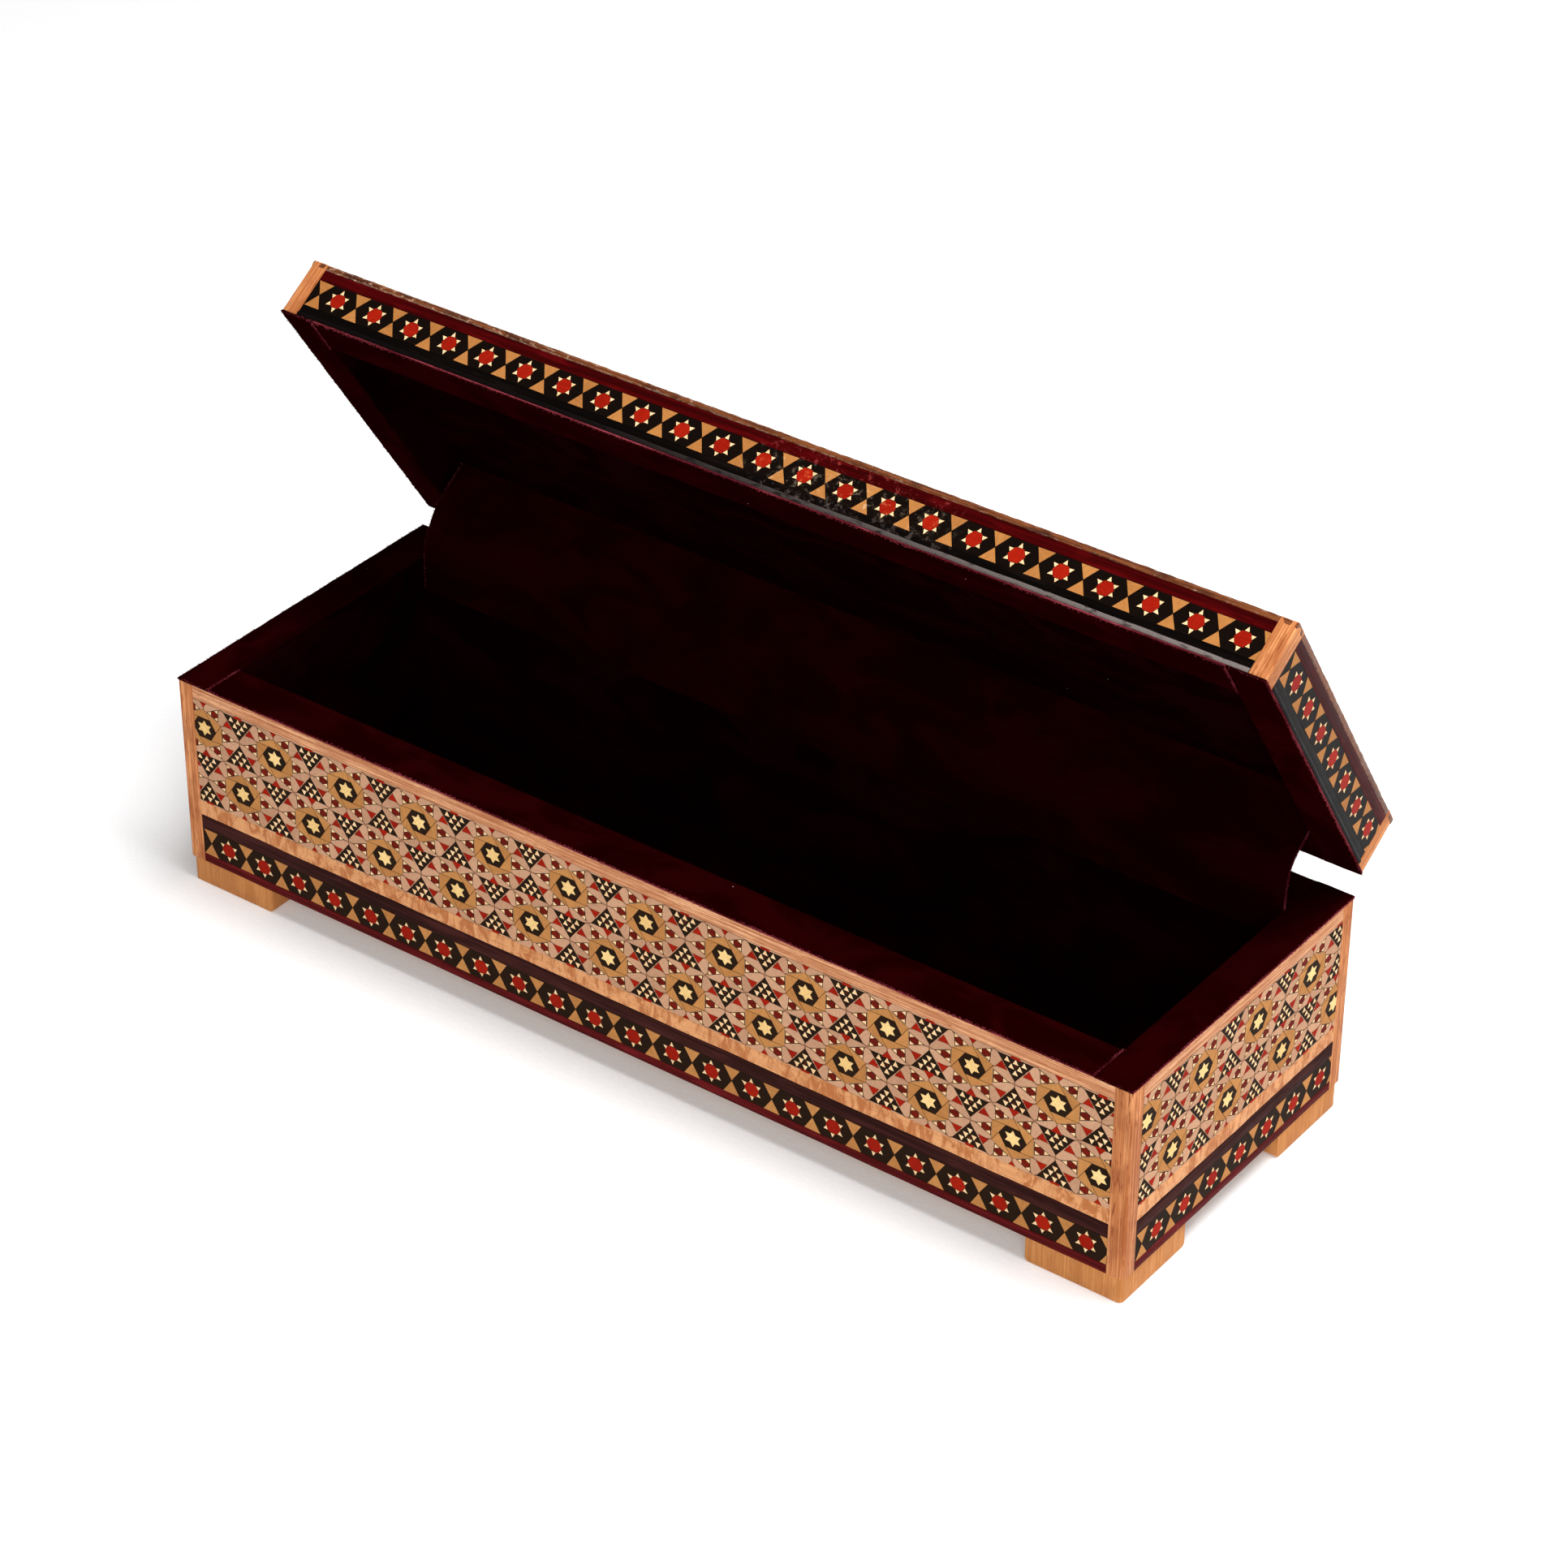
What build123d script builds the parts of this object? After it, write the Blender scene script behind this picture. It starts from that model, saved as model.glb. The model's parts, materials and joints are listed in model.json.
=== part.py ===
from build123d import *

import os
from math import cos, radians, sin

# Khatam pen case: a long wooden box with a hinged lid, faced with inlaid khatam veneer and lined
# with velvet. Millimetres. +Z is up, +X is the right end and +Y the hinged back. The lid is
# modelled open, and the origin is the middle of the open object, on the plane its feet stand on.

# ---------------------------------------------------------------- driving dimensions
case_length = 230.0
case_width = 76.2
lid_open_angle = 57.0

foot_height = 5.8
foot_leg = 21.5
foot_leg_width = 9.0
foot_inset = 0.3
foot_corner_radius = 1.0
foot_end_radius = 1.0

# outer layers of the case, from the bottom edge up
burgundy_height = 2.1
star_height = 6.2
dark_height = 3.3
waist_height = 3.5
panel_height = 24.7
rim_band_height = 3.1

# outer layers of the lid, from its rim to its top
lid_dark_height = 2.6
lid_star_height = 6.0
lid_burgundy_height = 2.4
edging_height = 1.3
edging_width = 4.2
top_fillet_width = 2.0

veneer = 2.0
post_size = 3.8
post_radius = 0.5
long_wall = 9.5
end_wall = 8.3
velvet = 0.8
rim_velvet = 0.6
floor_board = 3.0
lid_board = 2.7
lid_gap = 0.3

flap_height = 7.5
flap_rim_distance = 0.6
flap_end_gap = 1.0

hinge_offset = 4.0
hinge_spots = (-70.0, 70.0)
hinge_width = 16.0
leaf_thickness = 0.8
leaf_height = 4.2
barrel_radius = 1.7
pin_radius = 0.85
pin_clearance = 0.05
pin_head_radius = 1.25
pin_head_height = 0.5
middle_knuckle = 5.6
knuckle_gap = 0.2
nail_spacing = 9.0
nail_radius = 0.4
nail_length = 5.0
nail_head_radius = 1.1
nail_head_height = 0.5
nail_head_taper = 25.0

# ---------------------------------------------------------------- worked-out dimensions
half_length = case_length / 2
half_width = case_width / 2

# outlines, as half sizes: inside the veneer, between the posts, inside the walls, inside the velvet
core_x = half_length - veneer
core_y = half_width - veneer
post_x = half_length - post_size
post_y = half_width - post_size
inner_x = half_length - end_wall + velvet
inner_y = half_width - long_wall + velvet
lining_x = inner_x - velvet
lining_y = inner_y - velvet

# heights on the case
wall_base = foot_height
star_base = wall_base + burgundy_height
dark_base = star_base + star_height
waist_base = dark_base + dark_height
panel_base = waist_base + waist_height
rim_band_base = panel_base + panel_height
wall_top = rim_band_base + rim_band_height
rim_level = wall_top + rim_velvet
floor_top = wall_base + floor_board

# heights on the lid, measured from its rim
lid_dark_base = rim_velvet
lid_star_base = lid_dark_base + lid_dark_height
lid_burgundy_base = lid_star_base + lid_star_height
edging_base = lid_burgundy_base + lid_burgundy_height
lid_height = edging_base + edging_height
lid_board_base = edging_base - lid_board

# the open lid reaches behind the case, so the case's middle stands in front of the origin
hinge_distance = half_width + hinge_offset
lid_turn = radians(lid_open_angle)
lid_reach = hinge_distance - hinge_offset * cos(lid_turn) + (lid_height + lid_gap / 2) * sin(lid_turn)
case_middle = (half_width - lid_reach) / 2

# the hinge axis, and planes that turn with the lid
hinge_y = case_middle + hinge_distance
hinge_z = rim_level + lid_gap / 2
closed_hinge = Plane((0, hinge_y, hinge_z))
open_hinge = closed_hinge.rotated((-lid_open_angle, 0, 0))
lid_rim = Plane(
    open_hinge.from_local_coords((0, -hinge_distance, lid_gap / 2)),
    x_dir=open_hinge.x_dir,
    z_dir=open_hinge.z_dir,
)
case_back = Plane((0, case_middle + half_width, hinge_z), x_dir=(-1, 0, 0), z_dir=(0, 1, 0))
lid_back = Plane(
    open_hinge.from_local_coords((0, -hinge_offset, 0)),
    x_dir=-open_hinge.x_dir,
    z_dir=open_hinge.y_dir,
)

corners = {
    "front_left": (-1, -1),
    "front_right": (1, -1),
    "rear_left": (-1, 1),
    "rear_right": (1, 1),
}
sides = {
    "front": (0, -1),
    "rear": (0, 1),
    "left": (-1, 0),
    "right": (1, 0),
}

os.makedirs("parts", exist_ok=True)


def case_level(height):
    """The plane at this height over the ground, centred on the case."""
    return Plane((0, case_middle, height))


def save(piece, node):
    """Label a finished piece and write its STEP file."""
    piece.part.label = node
    export_step(piece.part, f"parts/{node}.step")


# ---------------------------------------------------------------- hinge nails' shanks
leaf_middle = barrel_radius * 2**0.5 + hinge_offset - leaf_thickness + leaf_height / 2


def nail_shanks(back, direction):
    """The shanks of both hinges' nails, from a leaf's outer face into the wall behind it."""
    with BuildPart() as shanks:
        with BuildSketch(back.offset(leaf_thickness)):
            for spot in hinge_spots:
                with Locations((-spot, direction * leaf_middle)):
                    with GridLocations(nail_spacing, 0, 2, 1):
                        Circle(nail_radius)
        extrude(amount=-nail_length)
    return shanks.part


case_nail_shanks = nail_shanks(case_back, -1)
lid_nail_shanks = nail_shanks(lid_back, 1)


# ---------------------------------------------------------------- layers that both halves share
def layer_rectangle(side):
    """One veneer strip in plan: it lies between two corner posts, flush with their faces."""
    side_x, side_y = sides[side]
    with Locations((side_x * (half_length - veneer / 2), side_y * (half_width - veneer / 2))):
        if side_y:
            Rectangle(2 * post_x, veneer)
        else:
            Rectangle(veneer, 2 * post_y)


def veneer_strip(base, side, height, nails=None):
    """A veneer strip on one side, drilled for a hinge's nails where it has them."""
    with BuildPart() as strip:
        with BuildSketch(base):
            layer_rectangle(side)
        extrude(amount=height)
        if nails:
            add(nails, mode=Mode.SUBTRACT)
    return strip


def veneer_belt(base, height):
    """Four veneer strips, one on each side."""
    with BuildPart() as belt:
        with BuildSketch(base):
            for side in sides:
                layer_rectangle(side)
        extrude(amount=height)
    return belt


def corner_post(base, corner, height):
    """A square post, with its outer corner eased, that covers the ends of the veneer."""
    side_x, side_y = corners[corner]
    with BuildPart() as post:
        with BuildSketch(base):
            with Locations((side_x * (half_length - post_size / 2), side_y * (half_width - post_size / 2))):
                square = Rectangle(post_size, post_size)
            outer_corner = square.vertices().sort_by(
                lambda vertex: base.to_local_coords(vertex.center()).dot(Vector(side_x, side_y))
            )[-1]
            fillet(outer_corner, post_radius)
        extrude(amount=height)
    return post


def core_wall(base, side, height, nails=None):
    """A structural wall: the long ones run between the posts, the end ones are stepped to fit."""
    side_x, side_y = sides[side]
    with BuildPart() as wall:
        with BuildSketch(base):
            if side_y:
                with Locations((0, side_y * (core_y + inner_y) / 2)):
                    Rectangle(2 * post_x, core_y - inner_y)
            else:
                with Locations((side_x * (post_x + inner_x) / 2, 0)):
                    Rectangle(post_x - inner_x, 2 * inner_y)
                with Locations((side_x * (core_x + post_x) / 2, 0)):
                    Rectangle(core_x - post_x, 2 * post_y)
        extrude(amount=height)
        if nails:
            add(nails, mode=Mode.SUBTRACT)
    return wall


def wall_lining(base, lined_sides, height):
    """The velvet glued to the inside of the walls on these sides."""
    with BuildPart() as lining:
        for side in lined_sides:
            side_x, side_y = sides[side]
            with BuildSketch(base):
                with Locations((side_x * (inner_x - velvet / 2), side_y * (inner_y - velvet / 2))):
                    if side_y:
                        Rectangle(2 * lining_x, velvet)
                    else:
                        Rectangle(velvet, 2 * lining_y)
            extrude(amount=height)
    return lining


def rim_cover(base):
    """The four velvet strips that cover the whole thickness of the rim."""
    with BuildPart() as cover:
        with BuildSketch(base):
            with Locations((0, -half_width + long_wall / 2), (0, half_width - long_wall / 2)):
                Rectangle(2 * lining_x, long_wall)
            with Locations((-half_length + end_wall / 2, 0), (half_length - end_wall / 2, 0)):
                Rectangle(end_wall, case_width)
        extrude(amount=rim_velvet)
    return cover


def flap_strip(base):
    """The part of the velvet hinge flap that is glued to a rear lining, just inside the rim."""
    with BuildPart() as strip:
        with BuildSketch(base):
            with Locations((0, lining_y - velvet / 2)):
                Rectangle(2 * (lining_x - flap_end_gap), velvet)
        extrude(amount=flap_height)
    return strip


# ---------------------------------------------------------------- feet
for corner, (side_x, side_y) in corners.items():
    with BuildPart() as foot:
        with BuildSketch(case_level(0)):
            leg_middle = foot_inset + foot_leg / 2
            with Locations((side_x * (half_length - leg_middle), side_y * (half_width - leg_middle))):
                Rectangle(foot_leg, foot_leg)
            hollow = foot_leg - foot_leg_width
            hollow_middle = foot_inset + foot_leg - hollow / 2
            with Locations((side_x * (half_length - hollow_middle), side_y * (half_width - hollow_middle))):
                Rectangle(hollow, hollow, mode=Mode.SUBTRACT)
        extrude(amount=foot_height)
        outer_edge = foot.edges().filter_by(Axis.Z).sort_by(
            lambda edge: edge.center().X * side_x + edge.center().Y * side_y
        )[-1]
        fillet(outer_edge, foot_corner_radius)
        bottom_edges = foot.edges().group_by(Axis.Z)[0]
        long_leg_end = bottom_edges.filter_by(Axis.Y).sort_by(Axis.X)[0 if side_x > 0 else -1]
        short_leg_end = bottom_edges.filter_by(Axis.X).sort_by(Axis.Y)[0 if side_y > 0 else -1]
        fillet([long_leg_end, short_leg_end], foot_end_radius)
    save(foot, f"foot_{corner}")

# ---------------------------------------------------------------- case: boards and corner posts
with BuildPart() as case_floor_board:
    with BuildSketch(case_level(wall_base)):
        Rectangle(2 * inner_x, 2 * inner_y)
    extrude(amount=floor_board)
save(case_floor_board, "case_floor_board")

for side in sides:
    nails = case_nail_shanks if side == "rear" else None
    wall = core_wall(case_level(wall_base), side, wall_top - wall_base, nails)
    save(wall, f"case_{side}_wall")

for corner in corners:
    post = corner_post(case_level(wall_base), corner, wall_top - wall_base)
    save(post, f"case_post_{corner}")

# ---------------------------------------------------------------- hinges
def hinge_leaves(turned, back, direction, knuckles, bore, nails):
    """A leaf for each hinge: a plate on the back face, cranked out to its knuckles."""
    tangent = barrel_radius * 2**-0.5
    inside = (barrel_radius - leaf_thickness) * 2**-0.5
    wall_face = -hinge_offset
    leaf_face = wall_face + leaf_thickness
    crank = leaf_face - barrel_radius * 2**0.5
    crank_start = crank + leaf_thickness * (2**0.5 - 1)
    with BuildPart() as leaves:
        for spot in hinge_spots:
            for knuckle_start, knuckle_end in knuckles:
                section = Plane(
                    turned.from_local_coords((spot + knuckle_start, 0, 0)),
                    x_dir=turned.y_dir,
                    z_dir=turned.x_dir,
                )
                with BuildSketch(section):
                    with BuildLine():
                        Polyline(
                            (wall_face, -direction * crank),
                            (leaf_face, -direction * crank),
                            (tangent, direction * tangent),
                            (inside, direction * inside),
                            (wall_face, -direction * crank_start),
                            close=True,
                        )
                    make_face()
                    Circle(barrel_radius)
                    Circle(bore, mode=Mode.SUBTRACT)
                extrude(amount=knuckle_end - knuckle_start)
        with BuildSketch(back):
            for spot in hinge_spots:
                with Locations((-spot, direction * leaf_middle)):
                    Rectangle(hinge_width, leaf_height)
        extrude(amount=leaf_thickness)
        add(nails, mode=Mode.SUBTRACT)
    return leaves


def hinge_nails(back, direction, shanks):
    """Round-headed nails through both leaves into the wall."""
    with BuildPart() as nails:
        with BuildSketch(back.offset(leaf_thickness)):
            for spot in hinge_spots:
                with Locations((-spot, direction * leaf_middle)):
                    with GridLocations(nail_spacing, 0, 2, 1):
                        Circle(nail_head_radius)
        extrude(amount=nail_head_height, taper=nail_head_taper)
        add(shanks)
    return nails


half_middle = middle_knuckle / 2
outer_knuckles = (
    (-hinge_width / 2, -half_middle - knuckle_gap),
    (half_middle + knuckle_gap, hinge_width / 2),
)
inner_knuckle = ((-half_middle, half_middle),)
running_bore = pin_radius + pin_clearance

case_leaves = hinge_leaves(closed_hinge, case_back, -1, outer_knuckles, pin_radius, case_nail_shanks)
save(case_leaves, "case_hinge_leaves")

lid_leaves = hinge_leaves(open_hinge, lid_back, 1, inner_knuckle, running_bore, lid_nail_shanks)
save(lid_leaves, "lid_hinge_leaves")

with BuildPart() as hinge_pins:
    for spot in hinge_spots:
        with BuildSketch(Plane.YZ.offset(spot)):
            with Locations((hinge_y, hinge_z)):
                Circle(pin_radius)
        extrude(amount=hinge_width / 2, both=True)
        for head_side in (-1, 1):
            with BuildSketch(Plane.YZ.offset(spot + head_side * hinge_width / 2)):
                with Locations((hinge_y, hinge_z)):
                    Circle(pin_head_radius)
            extrude(amount=head_side * pin_head_height)
save(hinge_pins, "hinge_pins")

save(hinge_nails(case_back, -1, case_nail_shanks), "case_hinge_nails")
save(hinge_nails(lid_back, 1, lid_nail_shanks), "lid_hinge_nails")

# ---------------------------------------------------------------- case: outer layers, bottom to rim
save(veneer_belt(case_level(wall_base), burgundy_height), "case_burgundy_fillets")
save(veneer_belt(case_level(dark_base), dark_height), "case_dark_fillets")
save(veneer_belt(case_level(waist_base), waist_height), "case_waist_bands")
save(veneer_belt(case_level(rim_band_base), rim_band_height), "case_rim_bands")

for side in sides:
    save(veneer_strip(case_level(star_base), side, star_height), f"case_{side}_star_border")
    nails = case_nail_shanks if side == "rear" else None
    khatam_panel = veneer_strip(case_level(panel_base), side, panel_height, nails)
    save(khatam_panel, f"case_{side}_khatam_panel")

# ---------------------------------------------------------------- case: velvet
with BuildPart() as case_floor_velvet:
    with BuildSketch(case_level(floor_top)):
        Rectangle(2 * lining_x, 2 * lining_y)
    extrude(amount=velvet)
save(case_floor_velvet, "case_floor_velvet")

for side in sides:
    save(wall_lining(case_level(floor_top), (side,), wall_top - floor_top), f"case_{side}_velvet")

save(rim_cover(case_level(wall_top)), "case_rim_velvet")
save(flap_strip(case_level(rim_level - flap_rim_distance - flap_height)), "velvet_flap_case_strip")

# ---------------------------------------------------------------- lid: boards and corner posts
for side in sides:
    nails = lid_nail_shanks if side == "rear" else None
    wall = core_wall(lid_rim.offset(rim_velvet), side, lid_board_base - rim_velvet, nails)
    save(wall, f"lid_{side}_wall")

with BuildPart() as lid_top_board:
    with BuildSketch(lid_rim.offset(lid_board_base)):
        Rectangle(2 * core_x, 2 * core_y)
        with GridLocations(2 * core_x, 2 * core_y, 2, 2):
            Rectangle(2 * (post_size - veneer), 2 * (post_size - veneer), mode=Mode.SUBTRACT)
    extrude(amount=lid_board)
save(lid_top_board, "lid_top_board")

for corner in corners:
    post = corner_post(lid_rim.offset(rim_velvet), corner, lid_height - rim_velvet)
    save(post, f"lid_post_{corner}")

# ---------------------------------------------------------------- lid: outer layers, rim to top
save(veneer_belt(lid_rim.offset(lid_dark_base), lid_dark_height), "lid_dark_fillets")
save(veneer_belt(lid_rim.offset(lid_burgundy_base), lid_burgundy_height), "lid_burgundy_fillets")

for side in sides:
    nails = lid_nail_shanks if side == "rear" else None
    star_border = veneer_strip(lid_rim.offset(lid_star_base), side, lid_star_height, nails)
    save(star_border, f"lid_{side}_star_border")

# ---------------------------------------------------------------- lid: inlaid top
fillet_x = half_length - edging_width
fillet_y = half_width - edging_width
top_panel_x = fillet_x - top_fillet_width
top_panel_y = fillet_y - top_fillet_width

with BuildPart() as lid_top_edging:
    with BuildSketch(lid_rim.offset(edging_base)):
        Rectangle(case_length, case_width)
        with GridLocations(case_length, case_width, 2, 2):
            Rectangle(2 * post_size, 2 * post_size, mode=Mode.SUBTRACT)
        Rectangle(2 * fillet_x, 2 * fillet_y, mode=Mode.SUBTRACT)
    extrude(amount=edging_height)
save(lid_top_edging, "lid_top_edging")

with BuildPart() as lid_top_fillet:
    with BuildSketch(lid_rim.offset(edging_base)):
        Rectangle(2 * fillet_x, 2 * fillet_y)
        Rectangle(2 * top_panel_x, 2 * top_panel_y, mode=Mode.SUBTRACT)
    extrude(amount=edging_height)
save(lid_top_fillet, "lid_top_fillet")

with BuildPart() as lid_top_khatam_panel:
    with BuildSketch(lid_rim.offset(edging_base)):
        Rectangle(2 * top_panel_x, 2 * top_panel_y)
    extrude(amount=edging_height)
save(lid_top_khatam_panel, "lid_top_khatam_panel")

# ---------------------------------------------------------------- lid: velvet
with BuildPart() as lid_top_velvet:
    with BuildSketch(lid_rim.offset(lid_board_base)):
        Rectangle(2 * lining_x, 2 * lining_y)
    extrude(amount=-velvet)
save(lid_top_velvet, "lid_top_velvet")

save(wall_lining(lid_rim.offset(rim_velvet), sides, lid_board_base - rim_velvet), "lid_wall_velvet")

save(rim_cover(lid_rim), "lid_rim_velvet")
save(flap_strip(lid_rim.offset(flap_rim_distance)), "velvet_flap_lid_strip")
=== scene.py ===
"""Khatam pen case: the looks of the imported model. Lengths are in millimetres until a mesh is
made, and the lid's pieces are shaped with the lid shut and then turned open with it."""

import json
import math
import random
from collections import namedtuple

import bmesh
import bpy
from mathutils import Matrix, Vector, noise
from mathutils.geometry import delaunay_2d_cdt


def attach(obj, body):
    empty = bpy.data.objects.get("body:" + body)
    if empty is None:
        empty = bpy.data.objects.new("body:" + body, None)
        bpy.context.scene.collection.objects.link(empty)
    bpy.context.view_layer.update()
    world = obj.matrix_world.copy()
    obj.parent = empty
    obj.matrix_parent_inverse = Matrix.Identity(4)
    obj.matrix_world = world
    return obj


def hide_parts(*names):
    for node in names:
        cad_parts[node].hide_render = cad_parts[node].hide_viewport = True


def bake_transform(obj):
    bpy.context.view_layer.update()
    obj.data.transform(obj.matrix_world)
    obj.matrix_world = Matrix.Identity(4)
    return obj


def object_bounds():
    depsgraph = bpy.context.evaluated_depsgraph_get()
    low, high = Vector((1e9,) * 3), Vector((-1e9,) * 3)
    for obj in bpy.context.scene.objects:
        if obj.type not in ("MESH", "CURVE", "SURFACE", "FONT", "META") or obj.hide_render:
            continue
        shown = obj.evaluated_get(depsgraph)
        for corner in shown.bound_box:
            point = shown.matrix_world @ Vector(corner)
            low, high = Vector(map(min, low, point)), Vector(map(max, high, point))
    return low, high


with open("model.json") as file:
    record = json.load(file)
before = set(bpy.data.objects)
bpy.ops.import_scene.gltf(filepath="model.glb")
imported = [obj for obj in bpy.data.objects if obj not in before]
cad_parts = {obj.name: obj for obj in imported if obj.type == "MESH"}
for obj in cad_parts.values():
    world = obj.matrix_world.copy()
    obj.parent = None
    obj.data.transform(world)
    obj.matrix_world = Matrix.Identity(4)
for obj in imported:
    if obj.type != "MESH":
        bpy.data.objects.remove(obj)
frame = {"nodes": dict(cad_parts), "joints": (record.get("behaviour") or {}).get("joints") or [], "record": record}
cad_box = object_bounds()

# the hand-work noise is the same on each run
NOISE_SEED = 1
noise.seed_set(NOISE_SEED)

MM = 0.001
RIGHT = Vector((1, 0, 0))
BACK = Vector((0, 1, 0))
UP = Vector((0, 0, 1))

# points closer than this, in millimetres, are one corner
SAME_PLACE = 1e-3

# ---------------- the frame, with the lid shut
hinge = next(joint for joint in frame["joints"] if joint["name"] == "lid_hinge")
hinge_point = Vector(hinge["pos_m"])
shut_turn = Matrix.Rotation(math.radians(hinge["range_deg"][0]), 4, Vector(hinge["axis"]))
SHUT = Matrix.Translation(hinge_point) @ shut_turn @ Matrix.Translation(-hinge_point)
OPEN = SHUT.inverted()

BODY = {node: body for body, nodes in frame["record"]["behaviour"]["bodies"].items() for node in nodes}

Box = namedtuple("Box", "low high")
Face = namedtuple("Face", "matrix width height depth")

# each side's own directions, seen from outside: along it, and up it
SIDES = {
    "front": (RIGHT, UP),
    "right": (BACK, UP),
    "rear": (-RIGHT, UP),
    "left": (-BACK, UP),
    "top": (RIGHT, BACK),
}
OUTWARD = {side: along.cross(up) for side, (along, up) in SIDES.items()}
OPPOSITE = {"front": "rear", "rear": "front", "left": "right", "right": "left"}


def shut_mesh(node):
    """A CAD node's mesh in millimetres with the lid shut, its shared corners joined."""
    mesh = bmesh.new()
    mesh.from_mesh(frame["nodes"][node].data)
    to_shut = SHUT if BODY[node] == "lid" else Matrix.Identity(4)
    mesh.transform(Matrix.Scale(1 / MM, 4) @ to_shut)
    bmesh.ops.remove_doubles(mesh, verts=mesh.verts, dist=SAME_PLACE)
    return mesh


def box_of(vertices):
    """The box round some of a mesh's vertices."""
    low = Vector([min(vertex.co[axis] for vertex in vertices) for axis in range(3)])
    high = Vector([max(vertex.co[axis] for vertex in vertices) for axis in range(3)])
    return Box(low, high)


def loose_parts(mesh):
    """The faces of each solid in a mesh; solids that only touch along an edge stay apart."""
    seen = set()
    parts = []
    for start in mesh.faces:
        if start in seen:
            continue
        seen.add(start)
        part = [start]
        for face in part:
            for edge in face.edges:
                if len(edge.link_faces) == 2:
                    fresh = [other for other in edge.link_faces if other not in seen]
                    seen.update(fresh)
                    part.extend(fresh)
        parts.append(part)
    return parts


def shut_box(node):
    """A CAD node's box with the lid shut."""
    mesh = shut_mesh(node)
    box = box_of(mesh.verts)
    mesh.free()
    return box


def box_face(box, along, up):
    """One face of a box as a flat frame: u along it, v up it and w outwards, from its corner."""
    out = along.cross(up)
    size = box.high - box.low
    width, height, depth = (abs(size.dot(way)) for way in (along, up, out))
    matrix = Matrix((along, up, out)).transposed().to_4x4()
    matrix.translation = (box.low + box.high - along * width - up * height + out * depth) / 2
    return Face(matrix, width, height, depth)


def outer_face(box, side):
    """The face on one side of a box."""
    return box_face(box, *SIDES[side])


def level_face(box, along, facing):
    """The upper or lower face of a box, with u along x or y."""
    run = RIGHT if along == "x" else BACK
    return box_face(box, run, (UP * facing).cross(run))


def side_boxes(node):
    """The box of each of a node's four strips, by the side that it is on."""
    mesh = shut_mesh(node)
    whole = box_of(mesh.verts)
    boxes = {}
    for part in loose_parts(mesh):
        box = box_of([vertex for face in part for vertex in face.verts])
        reach = box.low + box.high - whole.low - whole.high
        boxes[max(OPPOSITE, key=lambda side: reach.dot(OUTWARD[side]))] = box
    mesh.free()
    return boxes


# ---------------- pieces
def add_piece(name, mesh, finishes, nodes):
    """Turn a finished bmesh, in millimetres and shut, into a piece that stands for CAD nodes."""
    body = BODY[nodes[0]]
    mesh.transform(Matrix.Scale(MM, 4))
    if body == "lid":
        mesh.transform(OPEN)
    bmesh.ops.recalc_face_normals(mesh, faces=mesh.faces)
    data = bpy.data.meshes.new(name)
    mesh.to_mesh(data)
    mesh.free()
    piece = bpy.data.objects.new(name, data)
    bpy.context.scene.collection.objects.link(piece)
    for finish in finishes:
        data.materials.append(finish)
    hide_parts(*nodes)
    return piece


# how far apart, in millimetres, two pieces may be in one grain
GRAIN_REACH = 500

# edges under the first angle are dissolved, and edges over the second are eased
FLAT = math.radians(1)
SHARP = math.radians(40)


def lay_grain(mesh, faces, seed, axes=(0, 1, 2), to_local=Matrix.Identity(4)):
    """Give faces texture coordinates in millimetres: along the grain, across it and through it."""
    layer = mesh.loops.layers.float_vector.get("grain") or mesh.loops.layers.float_vector.new("grain")
    dice = random.Random(seed)
    shift = Vector([dice.uniform(0, GRAIN_REACH) for _ in range(3)])
    for face in faces:
        for loop in face.loops:
            place = to_local @ loop.vert.co
            loop[layer] = Vector([place[axis] for axis in axes]) + shift


def add_smooth_piece(name, mesh, finishes, nodes, angle=30):
    """A piece whose round stretches are shaded smooth, and whose corners over this angle are sharp."""
    piece = add_piece(name, mesh, finishes, nodes)
    piece.data.shade_smooth()
    piece.data.set_sharp_from_angle(angle=math.radians(angle))
    return piece


def eased_part(node, finish, suffix, ease, axes=None):
    """A CAD part with its sharp edges eased, and its grain along its longest way."""
    mesh = shut_mesh(node)
    bmesh.ops.dissolve_limit(mesh, angle_limit=FLAT, verts=mesh.verts, edges=mesh.edges, delimit={"NORMAL"})
    sharp = [edge for edge in mesh.edges if edge.calc_face_angle(0) > SHARP]
    bmesh.ops.bevel(
        mesh, geom=sharp, offset=ease, segments=2, profile=0.6, affect="EDGES", clamp_overlap=True
    )
    for number, part in enumerate(loose_parts(mesh)):
        box = box_of([vertex for face in part for vertex in face.verts])
        size = box.high - box.low
        order = axes or sorted(range(3), key=lambda axis: -size[axis])
        lay_grain(mesh, part, f"{node} {number}", order)
    piece = add_smooth_piece(f"{node}.{suffix}", mesh, [finish], [node])
    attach(piece, BODY[node])


# ---------------- finishes
def srgb(red, green, blue):
    """A colour given as 0 to 255, as the shader wants it."""
    shares = [value / 255 for value in (red, green, blue)]
    return [share / 12.92 if share < 0.04 else ((share + 0.055) / 1.055) ** 2.4 for share in shares] + [1]


# the stretch of the lid that has been knocked, along the box in metres
KNOCKED_MIDDLE = 0.022
KNOCKED_REACH = 0.028

# the coat over the lid's finishes, which are polished more than the case's
LID_POLISH = 0.12


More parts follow.
